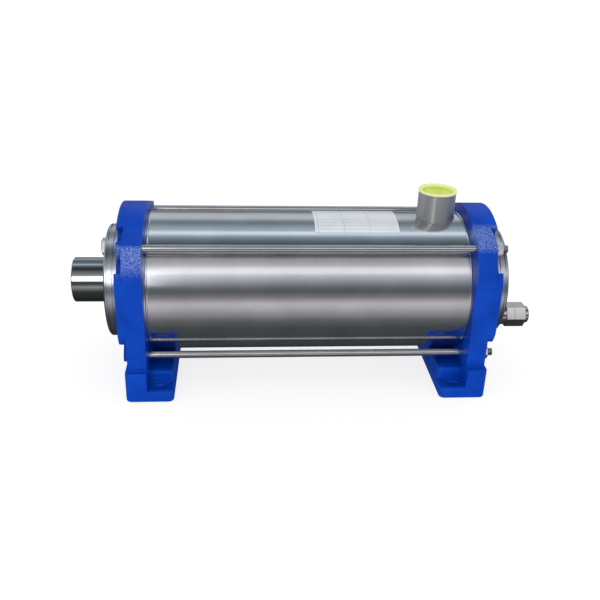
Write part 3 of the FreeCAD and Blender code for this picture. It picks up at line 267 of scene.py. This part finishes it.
class Shader(Nodes):
    """A material whose looks depend on the place on its object."""

    def __init__(self, name, color, roughness, metallic=0.0):
        self.material = bpy.data.materials.new(name)
        self.material.use_nodes = True
        super().__init__(self.material.node_tree)
        self.skin = self.tree.nodes["Principled BSDF"]
        self.place = self.add("TexCoord").outputs["Object"]
        self.set("Base Color", (*color, 1.0))
        self.set("Roughness", roughness)
        self.set("Metallic", metallic)

    def set(self, socket, value):
        self.skin.inputs[socket].default_value = value

    def link(self, output, socket):
        self.tree.links.new(output, self.skin.inputs[socket])

    def linked(self, socket):
        """What is linked to a socket of the skin so far."""
        return self.skin.inputs[socket].links[0].from_socket

    def axis(self, letter):
        return self.add("SeparateXYZ", {"Vector": self.place}).outputs[letter]

    def spread(self, scale, detail=3.0, stretch=EVEN, roughness=0.5):
        """Noise between 0 and 1, stretched along an axis where its factor is small."""
        mapped = self.add("Mapping", {"Vector": self.place, "Scale": stretch})
        inputs = {"Vector": mapped.outputs[0], "Scale": scale, "Detail": detail, "Roughness": roughness}
        return self.add("TexNoise", inputs).outputs["Fac"]

    def ramp(self, factor, low, high):
        """A colour that runs from low to high as the factor rises."""
        made = self.add("ValToRGB", {"Fac": factor})
        first, last = made.color_ramp.elements
        first.position, first.color = 0.3, (*low, 1.0)
        last.position, last.color = 0.7, (*high, 1.0)
        return made.outputs["Color"]

    def between(self, factor, low, high):
        inputs = {"Value": factor, "To Min": low, "To Max": high}
        return self.add("MapRange", inputs).outputs[0]

    def blend(self, factor, first, second):
        """The first colour, and the second one where the factor is 1."""
        inputs = {0: factor, 6: first, 7: (*second, 1.0)}
        return self.add("Mix", inputs, data_type="RGBA").outputs[2]

    def step(self, value, start, finish):
        """0 before the start and 1 after the finish, with a smooth way between."""
        inputs = {"Value": value, "From Min": start, "From Max": finish}
        return self.add("MapRange", inputs, interpolation_type="SMOOTHSTEP").outputs[0]

    def bump(self, height, strength, distance, before=None):
        inputs = {"Height": height, "Strength": strength, "Distance": distance}
        if before is not None:
            inputs["Normal"] = before
        return self.add("Bump", inputs).outputs[0]

    def edges(self, radius, start, finish):
        """A normal rounded over edges, and a mask that is 1 along them."""
        bevel = self.add("Bevel", {"Radius": radius}, samples=4).outputs[0]
        flat = self.add("NewGeometry").outputs["True Normal"]
        bend = self.add("VectorMath", {0: bevel, 1: flat}, operation="DOT_PRODUCT").outputs["Value"]
        return bevel, self.step(bend, start, finish)


def rough_skin_and_glints(shader):
    """A mask of the coarse cast patches, one on the front of each bracket, which also carry painted
    highlight specks.
    """
    across = shader.axis("Y")
    rise = shader.math("SUBTRACT", shader.axis("Z"), AXIS_HEIGHT)
    left = shader.math("LESS_THAN", shader.axis("X"), 0.0)
    right = shader.math("SUBTRACT", 1.0, left)
    patches = []
    for side, front, floor, top in (
        (left, LEFT_SKIN_GLINTS_FRONT, LEFT_SKIN_GLINTS_FLOOR, LEFT_SKIN_GLINTS_TOP),
        (right, RIGHT_SKIN_GLINTS_FRONT, RIGHT_SKIN_GLINTS_FLOOR, RIGHT_SKIN_GLINTS_TOP),
    ):
        band = shader.product(shader.step(rise, *floor), shader.step(rise, *top))
        patches.append(shader.product(band, side, shader.step(across, *front)))
    return shader.math("ADD", *patches)


def enamel():
    """Blue enamel over a sand casting, glossier on its edges and where the cast skin is coarse, with
    painted highlights as pale blue specks on those patches.
    """
    shader = Shader("blue_enamel", (0.001, 0.052, 0.43), 0.30)
    tone = shader.spread(scale=38.0, detail=4.0)
    paint = shader.ramp(tone, low=(0.0004, 0.040, 0.36), high=(0.0010, 0.058, 0.47))
    rough_and_glints = rough_skin_and_glints(shader)
    bevel, edge = shader.edges(radius=0.0011, start=0.995, finish=0.90)
    pebbles = shader.spread(scale=820.0, detail=2.0)
    # Painted highlights: pale blue specks on the coarse patches stand in for glints of light
    painted_glints = shader.product(shader.step(pebbles, start=0.46, finish=0.62), shader.product(rough_and_glints, 0.45))
    shader.link(shader.blend(painted_glints, paint, (0.30, 0.50, 0.86)), "Base Color")
    swells = shader.spread(scale=110.0)
    skin = shader.bump(swells, strength=0.45, distance=0.0010, before=bevel)
    skin = shader.bump(pebbles, strength=shader.between(rough_and_glints, 0.55, 1.0), distance=0.0007, before=skin)
    shader.link(skin, "Normal")
    shader.link(skin, "Coat Normal")
    shader.link(shader.between(tone, 0.24, 0.34), "Roughness")
    shine = shader.math("MAXIMUM", shader.product(rough_and_glints, 0.8), shader.product(edge, 0.6))
    shader.link(shader.between(shine, 0.02, 1.0), "Coat Weight")
    shader.set("Coat IOR", 1.9)
    shader.set("Coat Roughness", 0.10)
    shader.set("Specular IOR Level", 0.08)
    return shader.material


def steel(name, color, low, high, stretch=EVEN, scale=90.0, depth=0.00002, turned=0.0, edge_shade=0.0):
    """Bare metal whose grain runs along the axes that the stretch makes small, with painted shade darkening
    its edges and corners where asked for.
    """
    shader = Shader(name, color, low, metallic=1.0)
    grain = shader.spread(scale, detail=5.0, stretch=stretch, roughness=0.65)
    cloud = shader.spread(scale=26.0)
    wear = shader.math("ADD", shader.product(grain, 0.7), shader.product(cloud, 0.3))
    shader.link(shader.between(wear, low, high), "Roughness")
    tint = shader.ramp(cloud, tuple(part * 0.88 for part in color), color)
    # Painted shade: the colour is darkened towards near black along edges and into corners
    if edge_shade:
        edge = shader.edges(radius=0.0009, start=0.998, finish=0.93)[1]
        tint = shader.blend(shader.product(edge, edge_shade), tint, (0.05, 0.05, 0.05))
    shader.link(tint, "Base Color")
    shader.link(shader.bump(grain, strength=0.25, distance=depth), "Normal")
    shader.set("Anisotropic", turned)
    return shader


def turned_steel():
    """Bright turned sockets, of which the upright one is brushed."""
    shader = steel("turned_socket", (0.40, 0.41, 0.40), 0.06, 0.13, depth=0.000012)
    brushed = shader.step(shader.axis("Z"), AXIS_HEIGHT + BRUSHED_FROM, AXIS_HEIGHT + BRUSHED_FULLY)
    streaks = shader.spread(scale=900.0, detail=2.0, stretch=(1.0, 1.0, 0.04))
    dull = shader.product(shader.between(streaks, 0.32, 0.44), brushed)
    shader.link(shader.math("ADD", shader.linked("Roughness"), dull), "Roughness")
    shader.link(shader.blend(brushed, shader.linked("Base Color"), (0.66, 0.66, 0.65)), "Base Color")
    shader.link(shader.product(brushed, 0.95), "Anisotropic")
    shader.set("Anisotropic Rotation", 0.25)
    return shader.material


def rod_steel():
    """Drawn bar, with rolled threads where it stands out of the nuts."""
    shader = steel("drawn_rod", (0.66, 0.66, 0.66), 0.16, 0.24, (0.05, 1.0, 1.0), 200.0, 0.000004)
    along = shader.axis("X")
    turns = shader.math("SINE", shader.product(along, math.tau / ROD_THREAD_PITCH))
    ridges = shader.product(turns, shader.math("GREATER_THAN", along, NUTS_END))
    skin = shader.bump(ridges, strength=0.9, distance=0.0004, before=shader.linked("Normal"))
    shader.link(skin, "Normal")
    return shader.material


def plastic(name, color, roughness):
    """Moulded plastic with a slight mottle and a fine eroded skin."""
    shader = Shader(name, color, roughness)
    tone = shader.spread(scale=70.0)
    shader.link(shader.ramp(tone, tuple(part * 0.86 for part in color), color), "Base Color")
    grain = shader.spread(scale=700.0, detail=2.0)
    shader.link(shader.bump(grain, strength=0.3, distance=0.00008), "Normal")
    shader.link(shader.between(tone, roughness * 0.88, roughness * 1.12), "Roughness")
    return shader.material


def cap_plastic():
    """Soft lime plastic, paler on the lip where it is thin."""
    shader = Shader("lime_cap", (0.62, 0.72, 0.10), 0.42)
    lip = shader.math("GREATER_THAN", shader.axis("Z"), OUTLET_HIGH.z + CAP_LIP_RISE)
    tone = shader.ramp(shader.spread(scale=90.0), low=(0.62, 0.70, 0.13), high=(0.72, 0.80, 0.20))
    shader.link(shader.blend(lip, tone, (0.80, 0.85, 0.42)), "Base Color")
    grain = shader.spread(scale=500.0, detail=2.0)
    shader.link(shader.bump(grain, strength=0.2, distance=0.0001), "Normal")
    shader.set("Subsurface Weight", 0.15)
    shader.set("Subsurface Radius", (0.003, 0.003, 0.001))
    return shader.material


def label_foil():
    """Bare foil plate, with empty ruled rows and columns inside a margin."""
    shader = Shader("label_foil", (0.82, 0.85, 0.88), 0.30, metallic=0.35)
    along = shader.axis("X")
    start, finish = LABEL_LOW.x + LABEL_MARGIN, LABEL_HIGH.x - LABEL_MARGIN
    rise = shader.math("SUBTRACT", shader.axis("Z"), AXIS_HEIGHT)
    turn = shader.product(shader.math("ARCTAN2", shader.axis("Y"), rise), JACKET_RADIUS)
    rows = shader.math("DIVIDE", shader.math("ADD", turn, LABEL_ROW_SHIFT), LABEL_ROW)
    columns = shader.math("DIVIDE", shader.math("SUBTRACT", along, start), LABEL_COLUMN)
    row_lines = shader.math("LESS_THAN", shader.math("FRACT", rows), ROW_LINE_SHARE)
    column_lines = shader.math("LESS_THAN", shader.math("FRACT", columns), COLUMN_LINE_SHARE)
    after_start = shader.math("GREATER_THAN", along, start)
    before_finish = shader.math("LESS_THAN", along, finish)
    inside = shader.product(after_start, before_finish)
    ink = shader.product(shader.math("MAXIMUM", row_lines, column_lines), inside)
    mottle = shader.spread(scale=45.0, detail=4.0)
    foil = shader.ramp(mottle, low=(0.74, 0.78, 0.82), high=(0.86, 0.88, 0.91))
    shader.link(shader.blend(ink, foil, (0.36, 0.41, 0.47)), "Base Color")
    grain = shader.spread(scale=300.0, detail=2.0)
    shader.link(shader.bump(grain, strength=0.12, distance=0.0001), "Normal")
    return shader.material


def laminations():
    """Stacked sheets, dark with a fine line at each joint."""
    shader = Shader("laminations", (0.13, 0.135, 0.15), 0.5, metallic=0.75)
    sheets = shader.math("FRACT", shader.math("DIVIDE", shader.axis("X"), SHEET_THICKNESS))
    edge = shader.math("LESS_THAN", sheets, 0.25)
    tone = shader.ramp(shader.spread(scale=60.0), low=(0.11, 0.11, 0.12), high=(0.20, 0.20, 0.22))
    shader.link(shader.blend(edge, tone, (0.05, 0.045, 0.045)), "Base Color")
    shader.link(shader.bump(sheets, strength=0.3, distance=0.0002), "Normal")
    return shader.material


def windings():
    """Varnished copper wire, laid round the core."""
    shader = Shader("windings", (0.50, 0.19, 0.06), 0.3, metallic=0.6)
    strands = shader.spread(scale=220.0, detail=2.0, stretch=(3.0, 1.0, 1.0))
    shader.link(shader.ramp(strands, low=(0.28, 0.08, 0.02), high=(0.62, 0.27, 0.09)), "Base Color")
    shader.link(shader.bump(strands, strength=0.7, distance=0.0006), "Normal")
    shader.set("Coat Weight", 0.5)
    shader.set("Coat Roughness", 0.2)
    return shader.material


def make_materials():
    """One material for each slot of the record, and one for the welds."""
    made = {
        "blue_paint": enamel(),
        "turned_steel": turned_steel(),
        "rod_steel": rod_steel(),
        "lime_plastic": cap_plastic(),
        "label_foil": label_foil(),
        "lamination": laminations(),
        "copper": windings(),
    }
    for slot, looks in STEELS.items():
        made[slot] = steel(**looks).material
    for slot, looks in PLASTICS.items():
        made[slot] = plastic(*looks)
    return made


def dress_nodes(materials):
    for part in frame["record"]["subparts"]:
        piece = frame["nodes"][part["node"]]
        piece.data.materials.clear()
        piece.data.materials.append(materials[part["material_slot"]])


def add_piece(name, points, faces, material):
    """A smooth piece of the sockets, which stays with the pump's body."""
    mesh = bpy.data.meshes.new(name)
    mesh.from_pydata(points, [], faces)
    mesh.polygons.foreach_set("use_smooth", [True] * len(mesh.polygons))
    piece = bpy.data.objects.new(name, mesh)
    bpy.context.scene.collection.objects.link(piece)
    mesh.materials.append(material)
    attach(piece, "pump_body")


def sweep(sections, closed):
    """Join equal rings of points into a tube, closed on itself or capped."""
    points = [point for section in sections for point in section]
    sides = len(sections[0])
    steps = len(sections) if closed else len(sections) - 1
    faces = []
    for step in range(steps):
        here, after = step * sides, (step + 1) % len(sections) * sides
        for side in range(sides):
            turn = (side + 1) % sides
            faces.append((here + side, here + turn, after + turn, after + side))
    if not closed:
        faces.append(tuple(range(sides - 1, -1, -1)))
        faces.append(tuple(range(len(points) - sides, len(points))))
    return points, faces


def inner_thread(name, mouth, out, side, radius, length, material):
    """A thread ridge that winds inward from the wall of a bore, from its mouth."""
    steps = int(length / THREAD_PITCH * THREAD_STEPS_PER_TURN)
    across = out.cross(side)
    foot, flat = THREAD_PITCH * THREAD_FOOT_SHARE, THREAD_PITCH * THREAD_CREST_SHARE
    root = radius + THREAD_BITE
    fade_steps = THREAD_STEPS_PER_TURN * THREAD_FADE_TURNS
    sections = []
    for step in range(steps):
        angle = math.tau * step / THREAD_STEPS_PER_TURN
        depth = THREAD_PITCH * step / THREAD_STEPS_PER_TURN
        fade = min(1.0, step / fade_steps, (steps - 1 - step) / fade_steps)
        crest = radius - THREAD_DEPTH * max(fade, THREAD_LEAST_DEPTH)
        ray = side * math.cos(angle) + across * math.sin(angle)
        base = mouth - out * depth
        profile = ((root, -foot), (crest, -flat), (crest, flat), (root, foot))
        sections.append([base + ray * reach + out * shift for reach, shift in profile])
    add_piece(name, *sweep(sections, closed=False), material)


def weld_bead(name, seam, width, material):
    """A closed weld of overlapping beads, along a seam that gives its place and two
    directions across it for each share of a turn."""
    sections = []
    for step in range(WELD_STEPS):
        turn = step / WELD_STEPS
        centre, ray, up = seam(math.tau * turn)
        beads = WELD_RIPPLE * math.cos(math.tau * WELD_BEADS * turn)
        ripple = 1.0 + beads + WELD_WANDER * noise.noise(centre * WELD_WANDER_SCALE)
        ring = []
        for side in range(WELD_SIDES):
            angle = math.tau * side / WELD_SIDES
            reach = width * ripple
            ring.append(centre + (ray * math.cos(angle) + up * math.sin(angle)) * reach)
        sections.append(ring)
    add_piece(name, *sweep(sections, closed=True), material)


def outlet_seam(angle):
    """Where the upright socket meets the sleeve."""
    across = OUTLET_RADIUS * math.sin(angle)
    rise = math.sqrt(JACKET_RADIUS ** 2 - across ** 2)
    centre = Vector((OUTLET_X + OUTLET_RADIUS * math.cos(angle), across, AXIS_HEIGHT + rise))
    return centre, Vector((math.cos(angle), math.sin(angle), 0.0)), Vector((0.0, 0.0, 1.0))


def inlet_seam(angle):
    """Where the inlet socket meets its cover."""
    ray = Vector((0.0, math.sin(angle), math.cos(angle)))
    across, rise = INLET_WELD_REACH * math.sin(angle), INLET_WELD_REACH * math.cos(angle)
    centre = Vector((INLET_HIGH.x - INLET_WELD_SINK, across, AXIS_HEIGHT + rise))
    return centre, ray, Vector((-1.0, 0.0, 0.0))


def add_fine_pieces(materials):
    """The pipe threads and the welds of both sockets."""
    metal, weld = materials["turned_steel"], materials["weld"]
    outward, upward, forward = Vector((-1, 0, 0)), Vector((0, 0, 1)), Vector((1, 0, 0))
    mouth = Vector((INLET_LOW.x + INLET_THREAD_SETBACK, 0.0, AXIS_HEIGHT))
    inner_thread("inlet_thread", mouth, outward, upward, INLET_THREAD_RADIUS, INLET_THREAD_LENGTH, metal)
    mouth = Vector((OUTLET_X, 0.0, OUTLET_HIGH.z - OUTLET_MOUTH_DEPTH - OUTLET_THREAD_SETBACK))
    inner_thread("outlet_thread", mouth, upward, forward, OUTLET_THREAD_RADIUS, OUTLET_THREAD_LENGTH, metal)
    weld_bead("outlet_weld", outlet_seam, OUTLET_WELD_RADIUS, weld)
    weld_bead("inlet_weld", inlet_seam, INLET_WELD_RADIUS, weld)


def floor_shader():
    """A white table with soft shadows, which the metal sees as a painted reflection: lilac grey, and dark
    below the pump as a painted shadow.
    """
    material = bpy.data.materials.new("table")
    material.use_nodes = True
    nodes = Nodes(material.node_tree)
    nodes.tree.nodes.clear()
    matt = nodes.add("BsdfDiffuse", {"Color": (FLOOR_MATT, FLOOR_MATT, FLOOR_MATT, 1.0)})
    lift = nodes.add("Emission", {"Color": WHITE, "Strength": FLOOR_LIFT})
    white = nodes.add("AddShader", {0: matt.outputs[0], 1: lift.outputs[0]})
    place = nodes.add("TexCoord").outputs["Object"]
    across = nodes.add("SeparateXYZ", {"Vector": place}).outputs["Y"]
    away = nodes.math("ABSOLUTE", across)
    # Painted reflection: glossy rays see these bands instead of the table, with a painted shadow near the
    # pump
    painted_reflection = nodes.add("Emission", {"Color": nodes.bands(away, FLOOR_BAND_REACH, 0.0, FLOOR_BANDS)})
    glossy = nodes.add("LightPath").outputs["Is Glossy Ray"]
    mix = nodes.add("MixShader", {0: glossy, 1: white.outputs[0], 2: painted_reflection.outputs[0]})
    nodes.add("OutputMaterial", {"Surface": mix.outputs[0]})
    return material


def add_floor():
    mesh = bpy.data.meshes.new("table")
    maker = bmesh.new()
    bmesh.ops.create_grid(maker, x_segments=2, y_segments=2, size=FLOOR_HALF_SIZE)
    maker.to_mesh(mesh)
    maker.free()
    floor = bpy.data.objects.new("table", mesh)
    floor.location.z = -FLOOR_DROP
    bpy.context.scene.collection.objects.link(floor)
    mesh.materials.append(floor_shader())


def add_world():
    """A white studio with soft light, which the metal sees as bright and dark bands."""
    world = bpy.data.worlds.new("studio")
    bpy.context.scene.world = world
    world.use_nodes = True
    nodes = Nodes(world.node_tree)
    nodes.tree.nodes.clear()
    way = nodes.add("SeparateXYZ", {"Vector": nodes.add("TexCoord").outputs["Generated"]})
    ahead = nodes.math("MULTIPLY", way.outputs["Y"], -1.0)
    angle = nodes.math("ARCTAN2", way.outputs["Z"], ahead)
    table = [(math.radians(degrees), color) for degrees, color in SKY_BANDS]
    rays = nodes.add("LightPath").outputs
    soft = nodes.add("Background", {"Color": WHITE, "Strength": STUDIO_SOFT})
    bands = nodes.bands(angle, -math.pi, math.pi, table)
    seen = nodes.add("Background", {"Color": bands, "Strength": STUDIO_SHINE})
    clear = nodes.add("Background", {"Color": WHITE, "Strength": 1.0})
    shiny = nodes.add("MixShader", {0: rays["Is Glossy Ray"], 1: soft.outputs[0], 2: seen.outputs[0]})
    whole = nodes.add("MixShader", {0: rays["Is Camera Ray"], 1: shiny.outputs[0], 2: clear.outputs[0]})
    nodes.add("OutputWorld", {"Surface": whole.outputs[0]})


def add_light(name, degrees, width, height, power, along):
    """A softbox that faces the pump's axis."""
    light = bpy.data.lights.new(name, "AREA")
    light.shape = "RECTANGLE"
    light.size, light.size_y = width, height
    light.energy = power
    box = bpy.data.objects.new(name, light)
    angle = math.radians(degrees)
    target = Vector((along, 0.0, AXIS_HEIGHT))
    back, up = math.cos(angle) * LIGHT_DISTANCE, math.sin(angle) * LIGHT_DISTANCE
    box.location = target + Vector((0.0, -back, up))
    box.rotation_euler = (target - box.location).to_track_quat("-Z", "Y").to_euler()
    box.visible_camera = False
    bpy.context.scene.collection.objects.link(box)


def add_camera():
    camera = bpy.data.cameras.new("camera")
    camera.lens = CAMERA_LENS
    camera.sensor_width = CAMERA_SENSOR
    camera.clip_start = CAMERA_NEAR
    holder = bpy.data.objects.new("camera", camera)
    turn = Matrix((CAMERA_RIGHT, CAMERA_UP, -CAMERA_AHEAD)).transposed()
    holder.matrix_world = Matrix.Translation(CAMERA_PLACE) @ turn.to_4x4()
    bpy.context.scene.collection.objects.link(holder)
    bpy.context.scene.camera = holder


def build_scene():
    materials = make_materials()
    dress_nodes(materials)
    add_fine_pieces(materials)
    add_floor()
    add_world()
    for settings in LIGHTS:
        add_light(**settings)
    add_camera()
    bpy.context.scene.view_settings.view_transform = "Standard"


build_scene()
